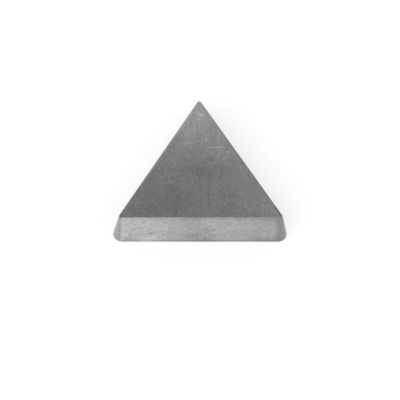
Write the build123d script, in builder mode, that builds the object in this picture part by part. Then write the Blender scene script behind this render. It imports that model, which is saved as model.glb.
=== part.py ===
"""Triangular positive turning insert with no hole and no chip groove.

One solid of sintered tungsten carbide, ground on every face. It lies on its rake face, the larger
of the two triangles, with the smaller seating face up. The three flanks lean in by the clearance
angle, and so do the three noses, which makes each nose a cone: wide at the cutting edge and almost
a point at the seating face.

Frame: the origin is the centre of the rake face. +Z points to the seating face. One flank faces -Y
and the opposite nose points along +Y. Units are millimetres and degrees.
"""
import os
from math import radians, tan

from build123d import *

# Driving dimensions
INSCRIBED_CIRCLE = 9.525    # circle that touches the three cutting edges, 3/8 inch
THICKNESS = 3.18            # rake face to seating face, 1/8 inch
CLEARANCE_ANGLE = 11.0      # lean of the flanks and the noses
NOSE_RADIUS = 0.8           # corner radius at the cutting edge
CUTTING_EDGE_HONE = 0.04    # rounding brushed onto the cutting edge
SEAT_EDGE_BREAK = 0.02      # burr taken off around the seating face
APEX_DIRECTION = 90.0       # one nose points along +Y

# Worked out from the driving dimensions
FLANK_SETBACK = THICKNESS * tan(radians(CLEARANCE_ANGLE))
SEAT_NOSE_RADIUS = NOSE_RADIUS - FLANK_SETBACK
SEAT_INSCRIBED_CIRCLE = INSCRIBED_CIRCLE - 2 * FLANK_SETBACK


with BuildPart() as insert:
    # The cutting edge: three straight edges joined by tangent nose arcs.
    with BuildSketch(Plane.XY) as cutting_edge:
        RegularPolygon(
            radius=INSCRIBED_CIRCLE / 2,
            side_count=3,
            major_radius=False,
            rotation=APEX_DIRECTION,
        )
        fillet(cutting_edge.vertices(), NOSE_RADIUS)

    # The same clearance angle all round turns the flanks inward and the noses into cones.
    extrude(amount=THICKNESS, taper=CLEARANCE_ANGLE)

    # Both rims run tangent round the noses, so each is rounded as one closed loop.
    rake_face = insert.faces().sort_by(Axis.Z)[0]
    fillet(rake_face.edges(), CUTTING_EDGE_HONE)
    seating_face = insert.faces().sort_by(Axis.Z)[-1]
    fillet(seating_face.edges(), SEAT_EDGE_BREAK)

insert.part.label = "insert"

os.makedirs("parts", exist_ok=True)
export_step(insert.part, "parts/insert.step")

print(f"seating face: inscribed circle {SEAT_INSCRIBED_CIRCLE:.3f}, nose radius {SEAT_NOSE_RADIUS:.3f}")
print(f"volume {insert.part.volume:.2f} mm3, box {insert.part.bounding_box()}")
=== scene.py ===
"""A triangular carbide insert, lying on a pale studio floor.

The insert is one piece of sintered carbide, ground on every face. It lies on its rake face, with the
smaller seating face up. The flat faces show grinding lines and the light scratches of handling, the
sides are matte and mottled, and the rims carry small chips.

The frame is in metres. The insert is modelled on a bench where one unit is a millimetre, because
Blender's modelling tools round away distances of a few microns, and is then brought to the frame.
"""

import logging
import random
from collections.abc import Callable, Iterator
from contextlib import contextmanager
from dataclasses import dataclass
from enum import Enum
from math import cos, radians, sin, tan

import bpy
from mathutils import Matrix, Quaternion, Vector


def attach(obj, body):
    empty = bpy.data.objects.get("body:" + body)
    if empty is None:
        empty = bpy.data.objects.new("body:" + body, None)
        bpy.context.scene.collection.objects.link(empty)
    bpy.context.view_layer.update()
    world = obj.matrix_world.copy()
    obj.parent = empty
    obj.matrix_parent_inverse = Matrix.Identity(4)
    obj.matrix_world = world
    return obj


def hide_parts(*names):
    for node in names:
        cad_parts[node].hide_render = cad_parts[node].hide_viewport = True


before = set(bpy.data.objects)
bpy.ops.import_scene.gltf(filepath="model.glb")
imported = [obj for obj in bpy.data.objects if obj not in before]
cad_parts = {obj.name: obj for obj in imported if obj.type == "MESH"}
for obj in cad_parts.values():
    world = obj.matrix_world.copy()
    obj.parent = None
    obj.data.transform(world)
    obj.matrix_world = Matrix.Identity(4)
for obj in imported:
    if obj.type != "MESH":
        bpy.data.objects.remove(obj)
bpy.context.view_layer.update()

MILLIMETRE = 0.001
RIGHT_ANGLE = radians(90)
THIRD_OF_A_TURN = radians(120)
FRONT = -RIGHT_ANGLE        # azimuth of the flank that faces -Y
RIGHT_REAR = FRONT + THIRD_OF_A_TURN
LEFT_REAR = FRONT - THIRD_OF_A_TURN
SIDES = (FRONT, RIGHT_REAR, LEFT_REAR)
APEX = RIGHT_ANGLE          # azimuth of the nose opposite to the front flank
LEFT, RIGHT = -1, 1         # the ends of a flank, as seen from outside
NEAR = 1e-4                 # two places closer than this are one, on the bench
SAME_WAY = radians(1)       # two faces that turn less than this apart face the same way
NOISE_LOW, NOISE_HIGH = 0.3, 0.7    # what a Noise texture's value nearly always stays between
NOISE_MEAN = 0.5

Node = bpy.types.Node
Socket = bpy.types.NodeSocket
Pair = tuple[float, float]
logger = logging.getLogger("insert")


class Rim(Enum):
    """The two rims of the insert."""

    SEAT = "seat"
    CUTTING = "cutting"


class Finish(Enum):
    """The finishes of the insert, in the order of its material slots."""

    GROUND = 0
    FRONT_FLANK = 1
    REAR_FLANK = 2
    NOSE = 3
    RIM = 4
    FRACTURE = 5


# ---------------------------------------------------------------------------------------------
# Node wiring
# ---------------------------------------------------------------------------------------------


@dataclass(frozen=True)
class Wiring:
    """Adds nodes to one node tree and links them."""

    tree: bpy.types.NodeTree

    def feed(self, socket: Socket, value: object) -> None:
        """Link a socket to an input, or set the input's value.

        Args:
            socket: the input.
            value: a socket to link to it, or the value that it holds.
        """
        if isinstance(value, Socket):
            self.tree.links.new(value, socket)
        else:
            socket.default_value = value

    def node(self, kind: str, inputs: dict[str, object] | None = None, **settings: object) -> Node:
        """Add one node.

        Args:
            kind: Blender's name of the node type, without its ShaderNode prefix.
            inputs: what each named input takes, a socket to link or a value to hold.
            settings: the node's own properties.

        Returns:
            The new node.
        """
        made = self.tree.nodes.new("ShaderNode" + kind)
        for name, value in settings.items():
            setattr(made, name, value)
        for name, value in (inputs or {}).items():
            self.feed(made.inputs[name], value)
        return made

    def math(self, operation: str, *values: object, clamp: bool = False) -> Socket:
        """Add a Math node.

        Args:
            operation: Blender's name of the operation.
            values: a socket or a number for each input.
            clamp: keep the result from 0 to 1.

        Returns:
            The result's socket.
        """
        made = self.node("Math", operation=operation, use_clamp=clamp)
        for socket, value in zip(made.inputs, values):
            self.feed(socket, value)
        return made.outputs[0]

    def vector(self, operation: str, *values: object, output: str = "Vector") -> Socket:
        """Add a Vector Math node.

        Args:
            operation: Blender's name of the operation.
            values: a socket or a vector for each input.
            output: the name of the wanted result.

        Returns:
            The result's socket.
        """
        made = self.node("VectorMath", operation=operation)
        for socket, value in zip(made.inputs, values):
            self.feed(socket, value)
        return made.outputs[output]

    def scaled(self, vector: object, factor: object) -> Socket:
        """Multiply a vector by a number."""
        made = self.node("VectorMath", {"Vector": vector, "Scale": factor}, operation="SCALE")
        return made.outputs["Vector"]

    def fit(
        self, value: Socket, low: float, high: float, start: float, end: float, soft: bool = False
    ) -> Socket:
        """Turn a value from low to high into one from start to end, and hold it there.

        Args:
            value: the socket to remap.
            low: the value that gives start.
            high: the value that gives end.
            start: the result at low.
            end: the result at high.
            soft: ease in and out.

        Returns:
            The result's socket.
        """
        made = self.node("MapRange", {"Value": value}, interpolation_type="SMOOTHSTEP" if soft else "LINEAR")
        for name, number in (("From Min", low), ("From Max", high), ("To Min", start), ("To Max", end)):
            self.feed(made.inputs[name], number)
        return made.outputs["Result"]

    def noise(self, place: Socket, scale: object, detail: float = 2.0) -> Socket:
        """Add a Noise texture.

        Args:
            place: where the pattern is read.
            scale: its cells in one unit.
            detail: its octaves.

        Returns:
            The socket of its value, spread from 0 to 1.
        """
        value = self.node("TexNoise", {"Vector": place, "Scale": scale, "Detail": detail}).outputs["Fac"]
        return self.fit(value, NOISE_LOW, NOISE_HIGH, 0.0, 1.0)

    def varied(self, base: object, *patterns: tuple[Socket, float]) -> Socket:
        """Vary a value with patterns.

        Args:
            base: the value to vary.
            patterns: each pattern, from 0 to 1, and the share by which it swings the value either way.

        Returns:
            The result's socket.
        """
        for pattern, swing in patterns:
            base = self.math("MULTIPLY", self.fit(pattern, 0.0, 1.0, 1 - swing, 1 + swing), base)
        return base

    def marked(self, base: Socket, mask: Socket, strength: float) -> Socket:
        """Raise a value by a share where a mask is 1, or lower it if the share is negative."""
        return self.math("MULTIPLY", self.math("MULTIPLY_ADD", mask, strength, 1.0), base)

    def evened(self, base: Socket, mean: float, mask: Socket, strength: float) -> Socket:
        """Bring a value nearer to its mean, by a share, where a mask is 1."""
        share = self.math("MULTIPLY", mask, strength)
        return self.math("MULTIPLY_ADD", self.math("SUBTRACT", mean, base), share, base)


# ---------------------------------------------------------------------------------------------
# Effects that several finishes share, each a node group
# ---------------------------------------------------------------------------------------------


class Effect:
    """A shader node group with named inputs and outputs."""

    name = "Effect"
    inputs: dict[str, str] = {}
    outputs: dict[str, str] = {}

    def __init__(self) -> None:
        """Build the group."""
        self.group = bpy.data.node_groups.new(self.name, "ShaderNodeTree")
        for label, kind in self.inputs.items():
            self.group.interface.new_socket(name=label, in_out="INPUT", socket_type="NodeSocket" + kind)
        for label, kind in self.outputs.items():
            self.group.interface.new_socket(name=label, in_out="OUTPUT", socket_type="NodeSocket" + kind)
        wire = Wiring(self.group)
        given = self.group.nodes.new("NodeGroupInput").outputs
        leave = self.group.nodes.new("NodeGroupOutput").inputs
        for label, result in self.results(wire, given).items():
            wire.feed(leave[label], result)

    def results(self, wire: Wiring, given: bpy.types.NodeOutputs) -> dict[str, Socket]:
        """Wire the inside of the group.

        Args:
            wire: the group's wiring.
            given: the group's inputs by name.

        Returns:
            The socket for each named output.
        """
        raise NotImplementedError

    def use(self, wire: Wiring, **values: object) -> bpy.types.NodeOutputs:
        """Place the group in a material.

        Args:
            wire: the material's wiring.
            values: what each input takes, its name with _ for a space.

        Returns:
            The group's outputs by name.
        """
        placed = wire.node("Group", node_tree=self.group)
        for label, value in values.items():
            wire.feed(placed.inputs[label.replace("_", " ")], value)
        return placed.outputs


class GrindingLines(Effect):
    """Fine parallel lines along Y, as a grinding wheel leaves them, and short strokes among them."""

    name = "Grinding lines"
    inputs = {"Place": "Vector", "Width": "Float", "Length": "Float"}
    outputs = {"Lines": "Float", "Strokes": "Float"}

    stroke_stretch = 0.6        # a stroke's width for its length
    cells_in_a_width = 0.8
    octaves = 3.0

    def results(self, wire: Wiring, given: bpy.types.NodeOutputs) -> dict[str, Socket]:
        """Stretch a noise along Y for each, far for the lines and a little for the strokes.

        Args:
            wire: the group's wiring.
            given: the group's inputs by name.

        Returns:
            The value of each pattern, from 0 to 1.
        """
        across = wire.math("DIVIDE", 1.0, given["Width"])
        pitches = {
            "Lines": wire.math("DIVIDE", 1.0, given["Length"]),
            "Strokes": wire.math("MULTIPLY", across, self.stroke_stretch),
        }
        found = {}
        for label, pitch in pitches.items():
            stretch = wire.node("CombineXYZ", {"X": across, "Y": pitch, "Z": 1.0}).outputs["Vector"]
            place = wire.vector("MULTIPLY", given["Place"], stretch)
            found[label] = wire.noise(place, self.cells_in_a_width, self.octaves)
        return found


class Mottle(Effect):
    """Three sizes of mottling: clouds, blotches and grain."""

    name = "Mottle"
    inputs = {"Place": "Vector", "Cloud Size": "Float", "Blotch Size": "Float", "Grain Size": "Float"}
    outputs = {"Clouds": "Float", "Blotches": "Float", "Grain": "Float"}

    def results(self, wire: Wiring, given: bpy.types.NodeOutputs) -> dict[str, Socket]:
        """Read one noise for each size.

        Args:
            wire: the group's wiring.
            given: the group's inputs by name.

        Returns:
            The value of each size of mottling, from 0 to 1.
        """
        found = {}
        for label, size in (("Clouds", "Cloud Size"), ("Blotches", "Blotch Size"), ("Grain", "Grain Size")):
            found[label] = wire.noise(given["Place"], wire.math("DIVIDE", 1.0, given[size]))
        return found


class Pores(Effect):
    """Scattered round pores."""

    name = "Pores"
    inputs = {"Place": "Vector", "Spacing": "Float", "Size": "Float"}
    outputs = {"Mask": "Float"}

    bottom_share = 0.6      # how much of a pore's radius its flat bottom takes up

    def results(self, wire: Wiring, given: bpy.types.NodeOutputs) -> dict[str, Socket]:
        """Put a pore of a random size in each cell of a Voronoi texture.

        Args:
            wire: the group's wiring.
            given: the group's inputs by name.

        Returns:
            A mask that is 1 in a pore.
        """
        scale = wire.math("DIVIDE", 1.0, given["Spacing"])
        cells = wire.node("TexVoronoi", {"Vector": given["Place"], "Scale": scale}).outputs
        gap = wire.math("MULTIPLY", cells["Distance"], given["Spacing"])
        chance = wire.node("SeparateColor", {"Color": cells["Color"]}).outputs["Red"]
        size = wire.math("MULTIPLY", given["Size"], chance)
        share = wire.math("DIVIDE", gap, size)
        return {"Mask": wire.fit(share, 1.0, self.bottom_share, 0.0, 1.0, soft=True)}


class RimShade(Effect):
    """How near a place on the side of the insert is to a rim."""

    name = "Rim shade"
    inputs = {"Place": "Vector", "Rim Height": "Float", "Reach": "Float"}
    outputs = {"Mask": "Float"}

    ragged_swing = 0.3      # the share by which the reach varies either way
    ragged_cells = 3.0      # cells of that variation in a millimetre

    def results(self, wire: Wiring, given: bpy.types.NodeOutputs) -> dict[str, Socket]:
        """Fade from 1 at the rim to 0 at its reach, with a ragged end.

        Args:
            wire: the group's wiring.
            given: the group's inputs by name.

        Returns:
            A mask that is 1 at the rim.
        """
        height = wire.node("SeparateXYZ", {"Vector": given["Place"]}).outputs["Z"]
        gap = wire.math("ABSOLUTE", wire.math("SUBTRACT", height, given["Rim Height"]))
        ragged = wire.noise(given["Place"], self.ragged_cells)
        reach = wire.varied(given["Reach"], (ragged, self.ragged_swing))
        return {"Mask": wire.fit(wire.math("DIVIDE", gap, reach), 1.0, 0.0, 0.0, 1.0, soft=True)}


class ScratchLine(Effect):
    """One straight scratch, which fades towards its ends."""

    name = "Scratch line"
    inputs = {"Place": "Vector", "Start": "Vector", "End": "Vector", "Width": "Float"}
    outputs = {"Mask": "Float"}

    taper = 0.4             # under 1 keeps the middle of the scratch even
    middle = 0.25           # the product of the two shares into which the middle splits a scratch

    def results(self, wire: Wiring, given: bpy.types.NodeOutputs) -> dict[str, Socket]:
        """Measure how far the place is from the nearest point of the scratch.

        Args:
            wire: the group's wiring.
            given: the group's inputs by name.

        Returns:
            A mask that is 1 in the middle of the scratch.
        """
        run = wire.vector("SUBTRACT", given["End"], given["Start"])
        offset = wire.vector("SUBTRACT", given["Place"], given["Start"])
        along = wire.vector("DOT_PRODUCT", offset, run, output="Value")
        whole = wire.vector("DOT_PRODUCT", run, run, output="Value")
        share = wire.math("DIVIDE", along, whole, clamp=True)
        gap = wire.vector("LENGTH", wire.vector("SUBTRACT", offset, wire.scaled(run, share)), output="Value")
        body = wire.math("SUBTRACT", 1.0, wire.math("DIVIDE", gap, given["Width"]), clamp=True)
        ends = wire.math("MULTIPLY", share, wire.math("SUBTRACT", 1.0, share))
        fade = wire.math("POWER", wire.math("MULTIPLY", ends, 1 / self.middle), self.taper)
        return {"Mask": wire.math("MULTIPLY", body, fade)}


class SoftPatch(Effect):
    """One soft patch with a ragged edge."""

    name = "Soft patch"
    inputs = {"Place": "Vector", "Centre": "Vector", "Size": "Vector", "Ragged": "Float", "Grain": "Float"}
    outputs = {"Mask": "Float"}

    octaves = 3.0

    def results(self, wire: Wiring, given: bpy.types.NodeOutputs) -> dict[str, Socket]:
        """Measure the place in patch sizes from the centre, and roughen that distance.

        Args:
            wire: the group's wiring.
            given: the group's inputs by name.

        Returns:
            A mask that is 1 in the middle of the patch.
        """
        offset = wire.vector("SUBTRACT", given["Place"], given["Centre"])
        share = wire.vector("LENGTH", wire.vector("DIVIDE", offset, given["Size"]), output="Value")
        cells = {"Vector": given["Place"], "Scale": given["Grain"], "Detail": self.octaves}
        rough = wire.math("SUBTRACT", wire.node("TexNoise", cells).outputs["Fac"], NOISE_MEAN)
        share = wire.math("MULTIPLY_ADD", rough, given["Ragged"], share)
        return {"Mask": wire.fit(share, 1.0, 0.0, 0.0, 1.0, soft=True)}


class Effects:
    """Every effect of the insert's finishes, built once."""

    def __init__(self) -> None:
        """Build the groups."""
        self.lines = GrindingLines()
        self.mottle = Mottle()
        self.pores = Pores()
        self.rim_shade = RimShade()
        self.scratch = ScratchLine()
        self.patch = SoftPatch()


# ---------------------------------------------------------------------------------------------
# Marks and finishes
# ---------------------------------------------------------------------------------------------


@dataclass(frozen=True)
class Scratch:
    """A light line from start to end. A negative strength makes it dark.

    Attributes:
        start: its start, in millimetres.
        end: its end.
        width: how far it reaches to each side.
        strength: how much lighter its middle is, as a share of the tone.
    """

    start: Vector
    end: Vector
    width: float
    strength: float

    def mask(self, wire: Wiring, effects: Effects, place: Socket) -> Socket:
        """Give the scratch's mask."""
        look = {"Start": self.start, "End": self.end, "Width": self.width}
        return effects.scratch.use(wire, Place=place, **look)["Mask"]


@dataclass(frozen=True)
class Patch:
    """A light soft patch. A negative strength makes it dark.

    Attributes:
        centre: its centre, in millimetres.
        size: its half sizes.
        strength: how much lighter its middle is, as a share of the tone.
        ragged: how uneven its edge is, in patch sizes.
        grain: the cells of that unevenness in a millimetre.
    """

    centre: Vector
    size: Vector
    strength: float
    ragged: float = 0.6
    grain: float = 3.0

    def mask(self, wire: Wiring, effects: Effects, place: Socket) -> Socket:
        """Give the patch's mask."""
        look = {"Centre": self.centre, "Size": self.size, "Ragged": self.ragged, "Grain": self.grain}
        return effects.patch.use(wire, Place=place, **look)["Mask"]


Mark = Scratch | Patch


@dataclass(frozen=True)
class Metal:
    """What the insert's finishes have in common: bare metal with a tone, a roughness and marks.

    Where it is worn, its pattern is fainter.
    """

    name: str
    tone: float
    roughness: float
    marks: tuple[Mark, ...] = ()
    worn: tuple[Patch, ...] = ()

    def material(self, effects: Effects) -> bpy.types.Material:
        """Make the material.

        Args:
            effects: the node groups to draw on.

        Returns:
            The new material.
        """
        made = bpy.data.materials.new(self.name)
        made.use_nodes = True
        made.node_tree.nodes.clear()
        wire = Wiring(made.node_tree)
        place = wire.scaled(wire.node("TexCoord").outputs["Object"], 1 / MILLIMETRE)
        tone, rough, normal = self.look(wire, effects, place)
        for patch in self.worn:
            tone = wire.evened(tone, self.tone, patch.mask(wire, effects, place), patch.strength)
        for mark in self.marks:
            tone = wire.marked(tone, mark.mask(wire, effects, place), mark.strength)
        shader = wire.node("BsdfPrincipled", {"Base Color": tone, "Roughness": rough, "Normal": normal})
        shader.inputs["Metallic"].default_value = 1.0
        wire.node("OutputMaterial", {"Surface": shader.outputs["BSDF"]})
        return made

    def look(self, wire: Wiring, effects: Effects, place: Socket) -> tuple[Socket, Socket, Socket]:
        """Wire the finish's own look.

        Args:
            wire: the material's wiring.
            effects: the node groups to draw on.
            place: the place on the insert, in millimetres.

        Returns:
            The tone, the roughness and the normal.
        """
        raise NotImplementedError


@dataclass(frozen=True)
class GroundFace(Metal):
    """Satin metal with grinding lines along Y.

    Sizes are in millimetres, each swing is a share of the tone or the roughness, and the relief is
    in metres.
    """

    line_width: float = 0.12
    line_length: float = 1.2
    blotch_size: float = 0.5
    cloud_size: float = 2.2
    line_swing: float = 0.07
    stroke_swing: float = 0.14
    cloud_swing: float = 0.05
    blotch_swing: float = 0.04
    grain_swing: float = 0.05
    roughness_swing: float = 0.1
    relief: float = 1.5e-6

    def look(self, wire: Wiring, effects: Effects, place: Socket) -> tuple[Socket, Socket, Socket]:
        """Vary the tone, the roughness and the height with the grinding lines and the mottling.

        Args:
            wire: the material's wiring.
            effects: the node groups to draw on.
            place: the place on the insert, in millimetres.

        Returns:
            The tone, the roughness and the normal.
        """
        ground = effects.lines.use(wire, Place=place, Width=self.line_width, Length=self.line_length)
        mottle = effects.mottle.use(
            wire,
            Place=place,
            Cloud_Size=self.cloud_size,
            Blotch_Size=self.blotch_size,
            Grain_Size=self.line_width,
        )
        tone = wire.varied(
            self.tone,
            (ground["Strokes"], self.stroke_swing),
            (ground["Lines"], self.line_swing),
            (mottle["Clouds"], self.cloud_swing),
            (mottle["Blotches"], self.blotch_swing),
            (mottle["Grain"], self.grain_swing),
        )
        rough = wire.varied(self.roughness, (ground["Lines"], -self.roughness_swing))
        bump = wire.node("Bump", {"Height": ground["Lines"], "Distance": self.relief})
        return tone, rough, bump.outputs["Normal"]


@dataclass(frozen=True)
class MatteSide(Metal):
    """Matte mottled metal with fine pores, darker towards both rims; towards the rake rim the darkening is
    painted shade.

    Sizes are in millimetres, each swing and shade is a share of the tone or the roughness, and the
    relief is in metres.
    """

    seat_height: float = 3.18
    cloud_size: float = 1.8
    blotch_size: float = 0.4
    grain_size: float = 0.15
    cloud_swing: float = 0.07
    blotch_swing: float = 0.06
    grain_swing: float = 0.19
    roughness_swing: float = 0.15
    pore_spacing: float = 0.35
    pore_size: float = 0.06
    pore_shade: float = 0.3
    seat_reach: float = 0.8
    seat_shade: float = 0.09
    # painted shade: the band along the rake rim is darker, for the floor's contact shadow that the foot of
    # each side reflects
    rake_reach: float = 0.22
    rake_shade: float = 0.45
    relief: float = 2e-6

    def look(self, wire: Wiring, effects: Effects, place: Socket) -> tuple[Socket, Socket, Socket]:
        """Vary the tone, the roughness and the height with the mottling, and darken the rims.

        Args:
            wire: the material's wiring.
            effects: the node groups to draw on.
            place: the place on the insert, in millimetres.

        Returns:
            The tone, the roughness and the normal.
        """
        mottle = effects.mottle.use(
            wire,
            Place=place,
            Cloud_Size=self.cloud_size,
            Blotch_Size=self.blotch_size,
            Grain_Size=self.grain_size,
        )
        tone = wire.varied(
            self.tone,
            (mottle["Clouds"], self.cloud_swing),
            (mottle["Blotches"], self.blotch_swing),
            (mottle["Grain"], self.grain_swing),
        )
        pores = effects.pores.use(wire, Place=place, Spacing=self.pore_spacing, Size=self.pore_size)["Mask"]
        tone = wire.marked(tone, pores, -self.pore_shade)
        # each rim darkens the side near it; at the rake rim this is painted shade
        rims = ((self.seat_height, self.seat_reach, self.seat_shade), (0.0, self.rake_reach, self.rake_shade))
        for height, reach, shade in rims:
            mask = effects.rim_shade.use(wire, Place=place, Rim_Height=height, Reach=reach)["Mask"]
            tone = wire.marked(tone, mask, -shade)
        rough = wire.varied(self.roughness, (mottle["Blotches"], -self.roughness_swing))
        height = wire.math("SUBTRACT", mottle["Grain"], pores)
        bump = wire.node("Bump", {"Height": height, "Distance": self.relief})
        return tone, rough, bump.outputs["Normal"]


@dataclass(frozen=True)
class BareGrain(Metal):
    """Plain fine-grained metal, for honed rims and broken faces, with sizes as in the others."""

    cloud_size: float = 1.0
    grain_size: float = 0.05
    blotch_for_grain: float = 4.0
    swing: float = 0.15
    roughness_swing: float = 0.2
    relief: float = 3e-6

    def look(self, wire: Wiring, effects: Effects, place: Socket) -> tuple[Socket, Socket, Socket]:
        """Vary the tone, the roughness and the height with the grain.

        Args:
            wire: the material's wiring.
            effects: the node groups to draw on.
            place: the place on the insert, in millimetres.

        Returns:
            The tone, the roughness and the normal.
        """
        blotch_size = self.blotch_for_grain * self.grain_size
        mottle = effects.mottle.use(
            wire, Place=place, Cloud_Size=self.cloud_size, Blotch_Size=blotch_size, Grain_Size=self.grain_size
        )
        tone = wire.varied(self.tone, (mottle["Grain"], self.swing), (mottle["Blotches"], self.swing))
        rough = wire.varied(self.roughness, (mottle["Blotches"], -self.roughness_swing))
        bump = wire.node("Bump", {"Height": mottle["Grain"], "Distance": self.relief})
        return tone, rough, bump.outputs["Normal"]


# ---------------------------------------------------------------------------------------------
# Bench work
# ---------------------------------------------------------------------------------------------


def choose(*pieces: bpy.types.Object) -> None:
    """Select only these objects, and make the first one active.

    Args:
        pieces: the objects.
    """
    bpy.ops.object.select_all(action="DESELECT")
    for piece in pieces:
        piece.select_set(True)
    bpy.context.view_layer.objects.active = pieces[0]


def join(pieces: list[bpy.types.Object]) -> bpy.types.Object:
    """Join objects into the first of them.

    Args:
        pieces: the objects.

    Returns:
        The first of them, which now holds every mesh.
    """
    choose(*pieces)
    bpy.ops.object.join()
    return pieces[0]


def settle(body: bpy.types.Object) -> None:
    """Put an object's place, turn and scale into its mesh."""
    choose(body)
    bpy.ops.object.transform_apply(location=True, rotation=True, scale=True)


@contextmanager
def editing(body: bpy.types.Object, kind: str, wanted: Callable[..., bool]) -> Iterator[None]:
    """Work in edit mode with only the wanted elements of one object selected.

    Args:
        body: the object to edit.
        kind: VERT, EDGE or FACE.
        wanted: says whether an element of that kind is wanted.

    Yields:
        Nothing, while edit mode is on.
    """
    choose(body)
    bpy.ops.object.mode_set(mode="EDIT")
    bpy.ops.mesh.select_mode(type=kind)
    bpy.ops.mesh.select_all(action="DESELECT")
    bpy.ops.object.mode_set(mode="OBJECT")
    elements = {"VERT": body.data.vertices, "EDGE": body.data.edges, "FACE": body.data.polygons}[kind]
    for element in elements:
        element.select = wanted(element)
    bpy.ops.object.mode_set(mode="EDIT")
    yield
    bpy.ops.object.mode_set(mode="OBJECT")


def every(element: object) -> bool:
    """Want every element."""
    return True


def compass(azimuth: float) -> Vector:
    """Give the level direction at an azimuth."""
    return Vector((cos(azimuth), sin(azimuth), 0.0))


# ---------------------------------------------------------------------------------------------
# The insert
# ---------------------------------------------------------------------------------------------


@dataclass(frozen=True)
class Chip:
    """A scoop broken out of a rim, in millimetres.

    Attributes:
        rim: the rim that it is on.
        side: the azimuth of the flank that it is on, in radians.
        along: its place along the flank, from the middle, to the right as seen from outside.
        length: its length along the rim.
        depth: how far it eats into the corner.
        scoop_lengths: the scoop's half sizes along and across the rim, as shares of the length.
        scoop_depths: its half size outwards, in depths.
    """

    rim: Rim
    side: float
    along: float
    length: float
    depth: float
    scoop_lengths: Pair = (0.67, 0.4)
    scoop_depths: float = 3.0

    @property
    def scoop(self) -> tuple[float, float, float]:
        """Half sizes of the flattened ball that scoops the chip out: along, across and outwards."""
        lengthwise, across = self.scoop_lengths
        return (lengthwise * self.length, across * self.length, self.scoop_depths * self.depth)


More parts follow.
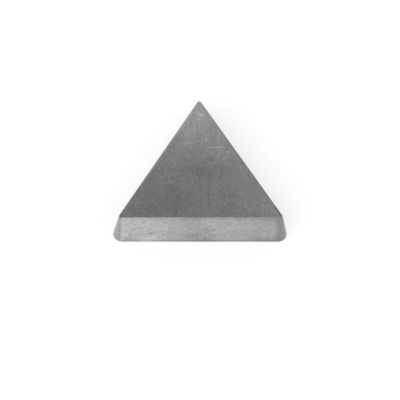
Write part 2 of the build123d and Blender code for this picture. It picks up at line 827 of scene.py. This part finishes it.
@dataclass(frozen=True)
class CarbideInsert:
    """The insert, with its sizes in millimetres and its angles in radians."""

    inscribed_circle: float = 9.525
    thickness: float = 3.18
    clearance: float = radians(11)
    nose_radius: float = 0.8
    cutting_edge_hone: float = 0.04
    seat_edge_break: float = 0.02
    nose_facets: int = 32
    rim_segments: int = 5
    crease: float = radians(30)
    chips_on_each_rim: int = 9
    chip_seed: int = 5
    chip_lengths: Pair = (0.06, 0.18)
    chip_rarity: int = 3                # a higher power makes long chips rarer
    chip_depths: Pair = (0.12, 0.22)    # as shares of the length
    corner_loss: float = 0.3            # how far a chip starts inside its corner, in roundings
    chip_ruggedness: float = 0.004
    least_edge: float = 3e-4            # shorter edges that the chips leave are closed up

    @property
    def setback(self) -> float:
        """How much smaller the seating face is, all round."""
        return self.thickness * tan(self.clearance)

    @property
    def nose_reach(self) -> float:
        """How far a nose's own axis stands from the insert's axis."""
        return self.inscribed_circle - 2 * self.nose_radius

    @property
    def half_flank(self) -> float:
        """Half the length of a flank between its noses."""
        return self.nose_reach * sin(THIRD_OF_A_TURN / 2)

    def on_flank(self, side: float, along: float, height: float) -> Vector:
        """Give a point on a flank.

        Args:
            side: the flank's azimuth.
            along: how far the point is to the right of the middle, as seen from outside.
            height: its height above the rake face.

        Returns:
            The point.
        """
        reach = self.inscribed_circle / 2 - height * tan(self.clearance)
        return compass(side) * reach + compass(side + RIGHT_ANGLE) * along + Vector((0, 0, height))

    def on_nose(self, side: float, end: int, turn: float, height: float) -> Vector:
        """Give a point on a nose.

        Args:
            side: the azimuth of the flank that the nose rounds off.
            end: the end of that flank, LEFT or RIGHT.
            turn: how far the nose has turned away from the flank there.
            height: the point's height above the rake face.

        Returns:
            The point.
        """
        radius = self.nose_radius - height * tan(self.clearance)
        axis = self.on_flank(side, end * self.half_flank, height) - compass(side) * radius
        return axis + compass(side + end * turn) * radius

    def on_seat(self, x: float, y: float) -> Vector:
        """Give a point on the seating face."""
        return Vector((x, y, self.thickness))

    def flank_normal(self, side: float) -> Vector:
        """Give the direction that a flank faces."""
        return compass(side) * cos(self.clearance) + Vector((0, 0, sin(self.clearance)))

    def build(self) -> bpy.types.Object:
        """Model the insert on the bench.

        Returns:
            The finished mesh object, still in millimetres.
        """
        body = join([self._nose(APEX + corner * THIRD_OF_A_TURN) for corner in range(3)])
        self._close_sides(body)
        self._round_rim(body, 0.0, self.cutting_edge_hone, RIGHT_ANGLE - self.clearance)
        self._round_rim(body, self.thickness, self.seat_edge_break, RIGHT_ANGLE + self.clearance)
        return body

    def _nose(self, azimuth: float) -> bpy.types.Object:
        """Model one conical nose, the outer third of a cone.

        Args:
            azimuth: where the nose points.

        Returns:
            The nose's open wall.
        """
        outward = compass(azimuth)
        axis = outward * self.nose_reach
        bpy.ops.mesh.primitive_cone_add(
            vertices=3 * self.nose_facets,
            radius1=self.nose_radius,
            radius2=self.nose_radius - self.setback,
            depth=self.thickness,
            end_fill_type="NOTHING",
            calc_uvs=False,
            location=axis + Vector((0, 0, self.thickness / 2)),
        )
        nose = bpy.context.object
        settle(nose)
        half_nose = THIRD_OF_A_TURN / 2
        with editing(nose, "FACE", lambda face: (face.center - axis).xy.angle(outward.xy) > half_nose):
            bpy.ops.mesh.delete(type="FACE")
        return nose

    def _close_sides(self, body: bpy.types.Object) -> None:
        """Fill the flanks between the noses, and then the two flat faces.

        Args:
            body: the three noses, as one object.
        """
        for side in SIDES:
            foot, normal = self.on_flank(side, 0.0, 0.0), self.flank_normal(side)
            with editing(body, "VERT", lambda vertex: abs((vertex.co - foot).dot(normal)) < NEAR):
                bpy.ops.mesh.edge_face_add()
        for height in (0.0, self.thickness):
            with editing(body, "VERT", lambda vertex: abs(vertex.co.z - height) < NEAR):
                bpy.ops.mesh.edge_face_add()
        with editing(body, "FACE", every):
            bpy.ops.mesh.normals_make_consistent(inside=False)

    def _round_rim(self, body: bpy.types.Object, height: float, radius: float, corner: float) -> None:
        """Round the rim at one height.

        Args:
            body: the insert.
            height: the rim's height.
            radius: the rounding.
            corner: the angle inside the metal between the two faces that meet there.
        """
        at_rim = {vertex.index for vertex in body.data.vertices if abs(vertex.co.z - height) < NEAR}
        with editing(body, "EDGE", lambda edge: at_rim.issuperset(edge.vertices)):
            bpy.ops.mesh.bevel(
                offset_type="OFFSET",
                offset=radius * tan((radians(180) - corner) / 2),
                segments=self.rim_segments,
                profile=0.5,        # an arc
                affect="EDGES",
                clamp_overlap=False,
            )

    def dress(self, body: bpy.types.Object, materials: dict[Finish, bpy.types.Material]) -> None:
        """Give each face its finish.

        Args:
            body: the insert.
            materials: the material of each finish.
        """
        for finish in Finish:
            body.data.materials.append(materials[finish])
        for face in body.data.polygons:
            face.material_index = self._finish_of(face).value

    def _finish_of(self, face: bpy.types.MeshPolygon) -> Finish:
        """Tell a face's finish from its normal.

        Args:
            face: a face of the insert, before its rims are chipped.

        Returns:
            The finish.
        """
        if abs(face.normal.z) > cos(SAME_WAY):
            return Finish.GROUND
        if abs(face.normal.z - sin(self.clearance)) > sin(SAME_WAY):
            return Finish.RIM
        for side in SIDES:
            if face.normal.dot(self.flank_normal(side)) > cos(SAME_WAY):
                return Finish.FRONT_FLANK if side == FRONT else Finish.REAR_FLANK
        return Finish.NOSE

    def _chips(self) -> list[Chip]:
        """List the chips.

        Returns:
            The larger ones, each in its place, and small ones all round.
        """
        found = [
            Chip(Rim.SEAT, FRONT, -5.64, 0.2, 0.03),
            Chip(Rim.SEAT, FRONT, 2.46, 0.8, 0.025),
            Chip(Rim.SEAT, FRONT, 5.1, 0.3, 0.015),
            Chip(Rim.SEAT, FRONT, 5.75, 0.35, 0.015),
            Chip(Rim.SEAT, FRONT, 6.35, 0.25, 0.02),
            Chip(Rim.SEAT, LEFT_REAR, 0.9, 0.3, 0.025),
        ]
        draw = random.Random(self.chip_seed)
        least, most = self.chip_lengths
        for rim in Rim:
            for side in SIDES:
                for _ in range(self.chips_on_each_rim):
                    length = least + (most - least) * draw.random() ** self.chip_rarity
                    along = draw.uniform(-1, 1) * self.half_flank
                    found.append(Chip(rim, side, along, length, length * draw.uniform(*self.chip_depths)))
        return found

    def _cutter(self, chip: Chip) -> bpy.types.Object:
        """Model the scoop that a chip leaves, a flattened ball across the corner of the rim.

        Args:
            chip: the chip.

        Returns:
            The scoop's object.
        """
        on_seat = chip.rim is Rim.SEAT
        height = self.thickness if on_seat else 0.0
        rounding = self.seat_edge_break if on_seat else self.cutting_edge_hone
        outward = (Vector((0, 0, 1 if on_seat else -1)) + self.flank_normal(chip.side)).normalized()
        along = compass(chip.side + RIGHT_ANGLE)
        corner = self.on_flank(chip.side, chip.along, height) - outward * rounding * self.corner_loss
        turn = Matrix((along, outward.cross(along), outward)).transposed()
        bpy.ops.mesh.primitive_ico_sphere_add(
            subdivisions=2,
            radius=1.0,
            calc_uvs=False,
            location=corner + outward * (chip.scoop[2] - chip.depth),
            rotation=turn.to_euler(),
            scale=chip.scoop,
        )
        return bpy.context.object

    def chip_rims(self, body: bpy.types.Object, fracture: bpy.types.Material) -> None:
        """Break the chips out of the rims.

        Args:
            body: the insert.
            fracture: the material of a broken face.
        """
        cutter = join([self._cutter(chip) for chip in self._chips()])
        settle(cutter)
        with editing(cutter, "FACE", every):
            bpy.ops.transform.vertex_random(offset=self.chip_ruggedness, seed=self.chip_seed)
        cutter.data.materials.append(fracture)
        choose(body)
        scoop = body.modifiers.new("chips", "BOOLEAN")
        scoop.operation = "DIFFERENCE"
        scoop.solver = "EXACT"
        scoop.use_self = True
        scoop.material_mode = "TRANSFER"
        scoop.object = cutter
        bpy.ops.object.modifier_apply(modifier=scoop.name)
        bpy.data.objects.remove(cutter)
        with editing(body, "FACE", every):
            bpy.ops.mesh.remove_doubles(threshold=NEAR)
            bpy.ops.mesh.dissolve_degenerate(threshold=self.least_edge)

    def bring_to_frame(self, body: bpy.types.Object) -> None:
        """Shrink the insert from the bench to the frame's metres, and smooth its shading.

        Args:
            body: the insert.
        """
        body.scale = (MILLIMETRE,) * 3
        settle(body)
        bpy.ops.object.shade_smooth_by_angle(angle=self.crease)
        even = body.modifiers.new("flat_faces", "WEIGHTED_NORMAL")
        even.keep_sharp = True
        even.weight = 100       # the large faces alone decide
        bpy.ops.object.modifier_apply(modifier=even.name)


@dataclass(frozen=True)
class WearAndPaintedLight:
    """The marks that grinding and handling have left on the insert, and the painted light and shade laid on
    it like marks.

    Places and sizes are in millimetres, and a strength is a share of the tone. A place on the seating
    face is its x and y in the frame. A place on the front flank is how far it is to the right of the
    flank's middle, and how high it is above the rake face.
    """

    insert: CarbideInsert
    nose_line_turns: Pair = (radians(17), radians(45))       # at the rake face and at the seating face
    nose_line_width: float = 0.06
    nose_line_strength: float = -0.24
    land_width: float = 0.25
    rim_reach: float = 6.6
    patch_depth: float = 2.0    # enough for the lean of the flank that the patch is on

    def _line(self, start: Pair, end: Pair, width: float, strength: float) -> Scratch:
        """Draw a line on the seating face."""
        return Scratch(self.insert.on_seat(*start), self.insert.on_seat(*end), width, strength)

    def _cloud(self, centre: Pair, size: Pair, strength: float) -> Patch:
        """Put a cloud on the seating face."""
        return Patch(self.insert.on_seat(*centre), Vector((*size, 1.0)), strength)

    def _seat_rim_line(self, side: float, width: float, strength: float) -> Scratch:
        """Draw a lighter or darker line along one rim of the seating face.

        Args:
            side: the azimuth of the flank below the rim.
            width: the line's half width.
            strength: how much lighter it is.

        Returns:
            The line.
        """
        reach, top = self.rim_reach, self.insert.thickness
        left, right = (self.insert.on_flank(side, end * reach, top) for end in (LEFT, RIGHT))
        return Scratch(left, right, width, strength)

    def _level(self, start: float, end: float, height: float, width: float, strength: float) -> Scratch:
        """Draw a level line on the front flank."""
        left, right = (self.insert.on_flank(FRONT, along, height) for along in (start, end))
        return Scratch(left, right, width, strength)

    def _flank_patch(
        self, place: Pair, size: Pair, strength: float, ragged: float = 0.3, grain: float = 3.0
    ) -> Patch:
        """Put a soft lighter or darker patch on the front flank; some are stains, others painted light and
        painted shade.
        """
        extent = Vector((size[0], self.patch_depth, size[1]))
        return Patch(self.insert.on_flank(FRONT, *place), extent, strength, ragged, grain)

    def _nose_line(self, side: float, end: int) -> Scratch:
        """Draw a thin dark line on a nose, near where it meets its flank.

        Args:
            side: the flank's azimuth.
            end: the end of the flank, LEFT or RIGHT.

        Returns:
            The seam.
        """
        low, high = self.nose_line_turns
        foot = self.insert.on_nose(side, end, low, 0.0)
        top = self.insert.on_nose(side, end, high, self.insert.thickness)
        return Scratch(foot, top, self.nose_line_width, self.nose_line_strength)

    def _painted_land(self, side: float, end: int, strength: float) -> Scratch:
        """Draw the strip of a nose between its flank and its nose line, from under the insert upwards:
        painted light where it is lighter, painted shade where darker.

        Args:
            side: the flank's azimuth.
            end: the end of the flank, LEFT or RIGHT.
            strength: how much lighter the strip is.

        Returns:
            The strip.
        """
        foot = self.insert.on_nose(side, end, 0.0, -1.0)
        top = self.insert.on_nose(side, end, 0.0, self.insert.thickness)
        return Scratch(foot, top, self.land_width, strength)

    def nose_lines(self, *sides: float) -> tuple[Scratch, ...]:
        """List the nose lines at both ends of some flanks."""
        return tuple(self._nose_line(side, end) for side in sides for end in (LEFT, RIGHT))

    def on_seat(self) -> tuple[Mark, ...]:
        """List the marks of the seating face.

        Returns:
            Lines along its rims, a painted highlight on the left rear one and painted shade on the right rear
            one, its scratches, and clouds, a few of them painted light and shade.
        """
        return (
            # painted highlight along the left rear rim, as a rounder edge would catch the light
            self._seat_rim_line(LEFT_REAR, 0.3, 0.38),
            # painted shade along the right rear rim
            self._seat_rim_line(RIGHT_REAR, 0.16, -0.3),
            self._seat_rim_line(FRONT, 0.14, 0.14),
            # painted shade along the right rear rim near its corner
            self._line((6.42, -2.95), (7.0, -3.98), 0.14, -0.4),
            self._line((0.7, 3.08), (2.2, 3.08), 0.06, 0.5),
            self._line((-0.1, 3.07), (0.9, 3.08), 0.07, 0.24),
            self._line((-1.28, 3.55), (-0.62, 3.67), 0.15, 0.24),
            self._line((-0.5, 3.73), (0.75, 3.76), 0.12, 0.2),
            self._line((0.52, 4.7), (0.52, 4.2), 0.08, 0.45),
            self._line((0.6, 4.25), (0.61, 3.7), 0.09, 0.35),
            self._line((0.05, 4.66), (0.4, 4.66), 0.08, 0.25),
            self._line((-2.85, -1.75), (-2.1, -1.68), 0.08, 0.35),
            self._line((-0.34, 6.81), (0.4, 6.53), 0.18, 0.32),
            self._line((0.06, 6.2), (-0.04, 4.9), 0.1, 0.12),
            self._line((0.02, 6.4), (-0.82, 4.6), 0.12, 0.12),
            self._line((-0.4, 5.4), (-0.57, 3.9), 0.14, 0.1),
            self._line((0.73, 0.3), (0.67, -3.9), 0.16, -0.12),
            self._line((2.5, -0.2), (2.56, -3.4), 0.3, -0.1),
            self._line((0.28, 0.3), (0.25, -2.8), 0.12, 0.09),
            self._line((1.27, 0.0), (1.21, -3.2), 0.14, 0.1),
            self._line((-2.28, 2.2), (-2.3, 0.4), 0.12, 0.12),
            self._line((-2.58, 1.5), (-2.6, 0.2), 0.1, 0.1),
            self._line((-1.55, -1.2), (-2.35, -3.9), 0.25, -0.1),
            self._cloud((-5.62, -4.08), (0.14, 0.12), 0.6),
            self._cloud((2.5, 2.62), (0.22, 0.16), 0.35),
            self._cloud((2.2, 1.5), (0.5, 0.22), 0.12),
            self._cloud((3.64, 1.2), (0.2, 0.16), 0.2),
            self._cloud((4.2, -2.68), (0.3, 0.2), 0.25),
            self._cloud((5.4, -2.85), (0.35, 0.2), 0.22),
            self._cloud((5.27, -2.16), (0.22, 0.16), 0.2),
            self._cloud((1.21, -2.87), (0.25, 0.16), 0.18),
            self._cloud((0.99, 1.83), (0.5, 0.35), -0.14),
            self._cloud((-0.45, 2.08), (0.5, 0.5), -0.12),
            self._cloud((0.4, 0.6), (3.4, 1.7), -0.17),
            self._cloud((-2.0, -0.4), (0.9, 0.8), -0.12),
            self._cloud((-5.5, -2.6), (0.7, 0.6), 0.12),
            self._cloud((-4.2, -1.2), (0.8, 0.7), -0.08),
            self._cloud((-4.2, -3.4), (1.0, 0.6), -0.1),
            self._cloud((-0.2, 3.2), (0.9, 0.9), -0.08),
            self._cloud((-1.2, 4.2), (0.8, 2.0), 0.1),
            self._cloud((1.9, 4.2), (1.0, 2.4), 0.07),
            self._cloud((-2.4, -1.3), (1.0, 0.8), -0.08),
            # painted shade: the left front of the face darker
            self._cloud((-2.4, -2.6), (2.6, 2.4), -0.08),
            # painted light: the face lighter towards its apex and its right front corner (this and the next
            # two)
            self._cloud((-0.9, 5.6), (2.2, 3.2), 0.14),
            self._cloud((0.5, 6.2), (1.8, 3.0), 0.1),
            self._cloud((5.8, -3.0), (2.4, 2.2), 0.12),
            self._cloud((-6.5, -3.6), (1.8, 1.4), 0.12),
        )

    def worn_seat(self) -> tuple[Patch, ...]:
        """List the places of the seating face that handling has worn."""
        return (Patch(self.insert.on_seat(-0.2, 5.0), Vector((3.0, 2.8, 1.0)), 0.45),)

    def worn_front(self) -> tuple[Patch, ...]:
        """List the places of the front flank that handling has worn."""
        return (self._flank_patch((4.0, 1.6), (4.2, 2.4), 0.2),)

    def on_front(self) -> tuple[Mark, ...]:
        """List the marks of the front flank.

        Returns:
            Its darker rims with painted shade along its foot, level streaks, stains, painted light towards
            the left end, painted shade towards the right end, and nose lines.
        """
        return (
            # painted shade: a dark line along the foot of the flank, for the floor's contact shadow that it
            # reflects
            self._level(-4.2, 7.2, 0.12, 0.22, -0.24),
            self._level(-1.8, 6.9, 3.1, 0.16, -0.22),
            self._level(-4.4, -0.2, 2.37, 0.14, -0.06),
            self._level(-2.2, -0.2, 1.8, 0.16, -0.06),
            self._level(0.0, 2.1, 1.56, 0.12, -0.09),
            self._level(0.0, 2.2, 0.5, 0.12, -0.09),
            self._level(2.2, 4.1, 0.35, 0.15, -0.06),
            self._level(2.3, 6.1, 1.85, 0.25, 0.06),
            self._level(4.0, 6.0, 1.1, 0.25, 0.07),
            self._level(4.0, 6.2, 1.47, 0.12, -0.06),
            self._level(3.9, 6.0, 0.55, 0.16, -0.06),
            self._level(2.4, 4.3, 2.7, 0.14, 0.07),
            self._level(2.3, 4.2, 1.4, 0.1, -0.05),
            self._flank_patch((5.0, 2.55), (1.3, 0.5), -0.07),
            # painted light: the left part of the flank lighter, towards the light (this and the next two)
            self._flank_patch((-4.8, 1.9), (3.8, 3.6), 0.2),
            self._flank_patch((-6.6, 1.6), (0.7, 3.0), 0.14),
            self._flank_patch((-6.7, 3.1), (1.5, 0.9), 0.12),
            self._flank_patch((-6.4, 0.1), (1.6, 0.6), -0.12),
            self._flank_patch((0.3, 0.4), (2.2, 1.3), -0.08),
            self._flank_patch((-0.6, 2.7), (1.8, 1.2), -0.08),
            self._flank_patch((-0.1, 0.8), (1.6, 0.7), -0.18, ragged=6.0, grain=6.0),
            self._flank_patch((0.4, 1.7), (1.3, 0.7), -0.14),
            # painted shade: the right part of the flank darker, away from the light
            self._flank_patch((5.0, 1.0), (2.4, 1.3), -0.09),
            # painted light on the lower left of the flank
            self._flank_patch((-4.4, 0.3), (2.0, 0.7), 0.1),
            self._flank_patch((3.1, 1.8), (0.8, 1.0), 0.05),
            self._flank_patch((-0.55, 0.9), (0.35, 0.2), -0.15, ragged=1.0),
            self._flank_patch((-4.3, 1.1), (0.56, 0.3), -0.26, ragged=0.6),
            self._flank_patch((1.8, 2.4), (1.6, 1.4), 0.06),
            # painted shade: the right end of the flank darker, away from the light (this and the next)
            self._flank_patch((7.05, 1.4), (0.75, 3.4), -0.38),
            self._flank_patch((6.75, 2.35), (0.5, 0.9), -0.16),
            # painted light at the left end of the flank
            self._flank_patch((-6.75, 1.2), (0.35, 0.5), 0.16),
            # painted shade at the right end, under the seat rim and along the foot (this and the next)
            self._flank_patch((6.2, 3.2), (1.9, 1.1), -0.22),
            self._flank_patch((6.2, 0.0), (2.8, 1.0), -0.26),
        ) + self.nose_lines(FRONT)

    def on_rear(self) -> tuple[Mark, ...]:
        """List the marks of the two rear flanks, which are their nose lines."""
        return self.nose_lines(RIGHT_REAR, LEFT_REAR)

    def on_noses(self) -> tuple[Mark, ...]:
        """List the marks of the noses.

        Returns:
            The painted shade and light of the two front noses and of their lands, and every nose line.
        """
        return (
            # painted shade: the right front nose darker, away from the light
            Patch(Vector((7.5, -3.7, 1.6)), Vector((1.4, 2.0, 5.0)), -0.32, ragged=0.3),
            # painted light: the top of the left front nose lighter, towards the light
            Patch(Vector((-7.3, -4.0, 2.5)), Vector((0.45, 1.6, 1.9)), 0.2, ragged=0.3),
            # painted shade low on the right front nose
            Patch(Vector((7.15, -4.6, 0.3)), Vector((0.6, 1.0, 1.0)), -0.16, ragged=0.3),
            # painted light: the strip of the left front nose next to its flank, lit like the flank
            self._painted_land(FRONT, LEFT, 0.26),
            # painted shade: the same strip on the right front nose, darker
            self._painted_land(FRONT, RIGHT, -0.16),
        ) + self.nose_lines(*SIDES)


def insert_materials(insert: CarbideInsert, effects: Effects) -> dict[Finish, bpy.types.Material]:
    """Make the insert's materials.

    Args:
        insert: the insert that they are for.
        effects: the node groups to draw on.

    Returns:
        The material of each finish.
    """
    wear_and_light = WearAndPaintedLight(insert)
    height = insert.thickness
    finishes = {
        Finish.GROUND: GroundFace(
            "ground_face", tone=0.37, roughness=0.19, marks=wear_and_light.on_seat(), worn=wear_and_light.worn_seat()
        ),
        Finish.FRONT_FLANK: MatteSide(
            "front_flank",
            tone=0.395,
            roughness=0.4,
            marks=wear_and_light.on_front(),
            worn=wear_and_light.worn_front(),
            seat_height=height,
        ),
        Finish.REAR_FLANK: MatteSide(
            "rear_flank", tone=0.38, roughness=0.4, marks=wear_and_light.on_rear(), seat_height=height
        ),
        Finish.NOSE: MatteSide(
            "nose", tone=0.36, roughness=0.36, marks=wear_and_light.on_noses(), seat_height=height
        ),
        Finish.RIM: BareGrain("honed_rim", tone=0.36, roughness=0.3),
        Finish.FRACTURE: BareGrain("broken_face", tone=0.26, roughness=0.5, grain_size=0.03),
    }
    return {finish: metal.material(effects) for finish, metal in finishes.items()}


# ---------------------------------------------------------------------------------------------
# The studio
# ---------------------------------------------------------------------------------------------


@dataclass(frozen=True)
class Lamp:
    """A far soft lamp.

    Attributes:
        name: its name.
        azimuth: where it stands, counted from +X towards +Y, in degrees.
        elevation: how high it stands, in degrees.
        spread: how wide it looks, in degrees.
        level: the light that falls on a surface that faces it.
    """

    name: str
    azimuth: float
    elevation: float
    spread: float
    level: float

    def build(self) -> None:
        """Hang the lamp."""
        light = bpy.data.lights.new(self.name, "SUN")
        light.energy = self.level
        light.angle = radians(self.spread)
        lamp = bpy.data.objects.new(self.name, light)
        elevation = radians(self.elevation)
        back = compass(radians(self.azimuth)) * cos(elevation) + Vector((0, 0, sin(elevation)))
        lamp.rotation_mode = "QUATERNION"
        lamp.rotation_quaternion = back.to_track_quat("Z", "Y")
        bpy.context.scene.collection.objects.link(lamp)


@dataclass(frozen=True)
class Studio:
    """The floor, the dome and the lamp."""

    floor_radius: float = 1.2
    floor_facets: int = 96
    floor_tone: float = 0.92
    fill: float = 0.6           # how much of the white that the floor shows is its own
    ceiling: float = 0.32
    wall_top: float = radians(50)       # above the horizon
    ceiling_edge: float = radians(58)
    lean: float = radians(10)           # how far the dome leans to the left
    key: Lamp = Lamp("key_softbox", azimuth=-125.0, elevation=50.0, spread=60.0, level=1.7)

    def build(self) -> None:
        """Set up the studio."""
        self._floor()
        self._dome()
        self.key.build()
        bpy.context.scene.view_settings.view_transform = "Standard"

    def _floor(self) -> None:
        """Lay the floor, which shows its own white only to the camera, to gloss and through glass."""
        bpy.ops.object.select_all(action="DESELECT")
        bpy.ops.mesh.primitive_circle_add(
            vertices=self.floor_facets, radius=self.floor_radius, fill_type="NGON"
        )
        floor = bpy.context.object
        floor.name = "studio_floor"
        material = bpy.data.materials.new("floor_paper")
        material.use_nodes = True
        material.node_tree.nodes.clear()
        wire = Wiring(material.node_tree)
        paper = wire.node("BsdfDiffuse", {"Color": (self.floor_tone,) * 3 + (1.0,)})
        glow = wire.node("Emission", {"Color": (1.0, 1.0, 1.0, 1.0), "Strength": 1.0})
        path = wire.node("LightPath").outputs
        seen = wire.math("MAXIMUM", path["Is Camera Ray"], path["Is Glossy Ray"])
        seen = wire.math("MAXIMUM", seen, path["Is Transmission Ray"])
        mixed = wire.node("MixShader", {"Fac": wire.math("MULTIPLY", seen, self.fill)})
        wire.feed(mixed.inputs[1], paper.outputs["BSDF"])
        wire.feed(mixed.inputs[2], glow.outputs["Emission"])
        wire.node("OutputMaterial", {"Surface": mixed.outputs["Shader"]})
        floor.data.materials.append(material)

    def _dome(self) -> None:
        """Light the dome: white up to the top of the walls, and grey overhead."""
        world = bpy.data.worlds.new("studio_dome")
        bpy.context.scene.world = world
        world.use_nodes = True
        world.node_tree.nodes.clear()
        wire = Wiring(world.node_tree)
        direction = wire.node("TexCoord").outputs["Generated"]
        up = (-sin(self.lean), 0.0, cos(self.lean))
        height = wire.vector("DOT_PRODUCT", direction, up, output="Value")
        level = wire.fit(height, sin(self.wall_top), sin(self.ceiling_edge), 1.0, self.ceiling, soft=True)
        dome = wire.node("Background", {"Color": level})
        wire.node("OutputWorld", {"Surface": dome.outputs["Background"]})


@dataclass(frozen=True)
class Camera:
    """The camera, which looks down on the insert from the front, in metres and radians."""

    aim: tuple[float, float, float] = (0.0382 * MILLIMETRE, -0.4784 * MILLIMETRE, 0.0)
    distance: float = 0.1100166
    elevation: float = radians(59.2409)
    turn: float = radians(3.0556)       # how far it stands to the left of straight in front
    tilt: float = radians(2.7048)       # how far it leans over to the left
    sensor_width: float = 36.0          # in millimetres, as the next
    focal_length: float = 110.2615
    nearest: float = 0.01

    def build(self) -> None:
        """Place the camera and make it the scene's own."""
        data = bpy.data.cameras.new("camera")
        data.sensor_width = self.sensor_width
        data.lens = self.focal_length
        data.clip_start = self.nearest
        camera = bpy.data.objects.new("camera", data)
        back = compass(FRONT - self.turn) * cos(self.elevation) + Vector((0, 0, sin(self.elevation)))
        camera.location = Vector(self.aim) + back * self.distance
        camera.rotation_mode = "QUATERNION"
        camera.rotation_quaternion = (-back).to_track_quat("-Z", "Y") @ Quaternion((0, 0, 1), self.tilt)
        bpy.context.scene.collection.objects.link(camera)
        bpy.context.scene.camera = camera


def main() -> None:
    """Build the insert, light it and frame it."""
    logging.basicConfig(level=logging.INFO, format="%(name)s: %(message)s")
    insert = CarbideInsert()
    materials = insert_materials(insert, Effects())
    body = insert.build()
    insert.dress(body, materials)
    insert.chip_rims(body, materials[Finish.FRACTURE])
    insert.bring_to_frame(body)
    body.name = "carbide_insert"
    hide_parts("insert")
    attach(body, "root")
    logger.info("carbide_insert: %d faces", len(body.data.polygons))
    Studio().build()
    Camera().build()


if __name__ == "__main__":
    main()
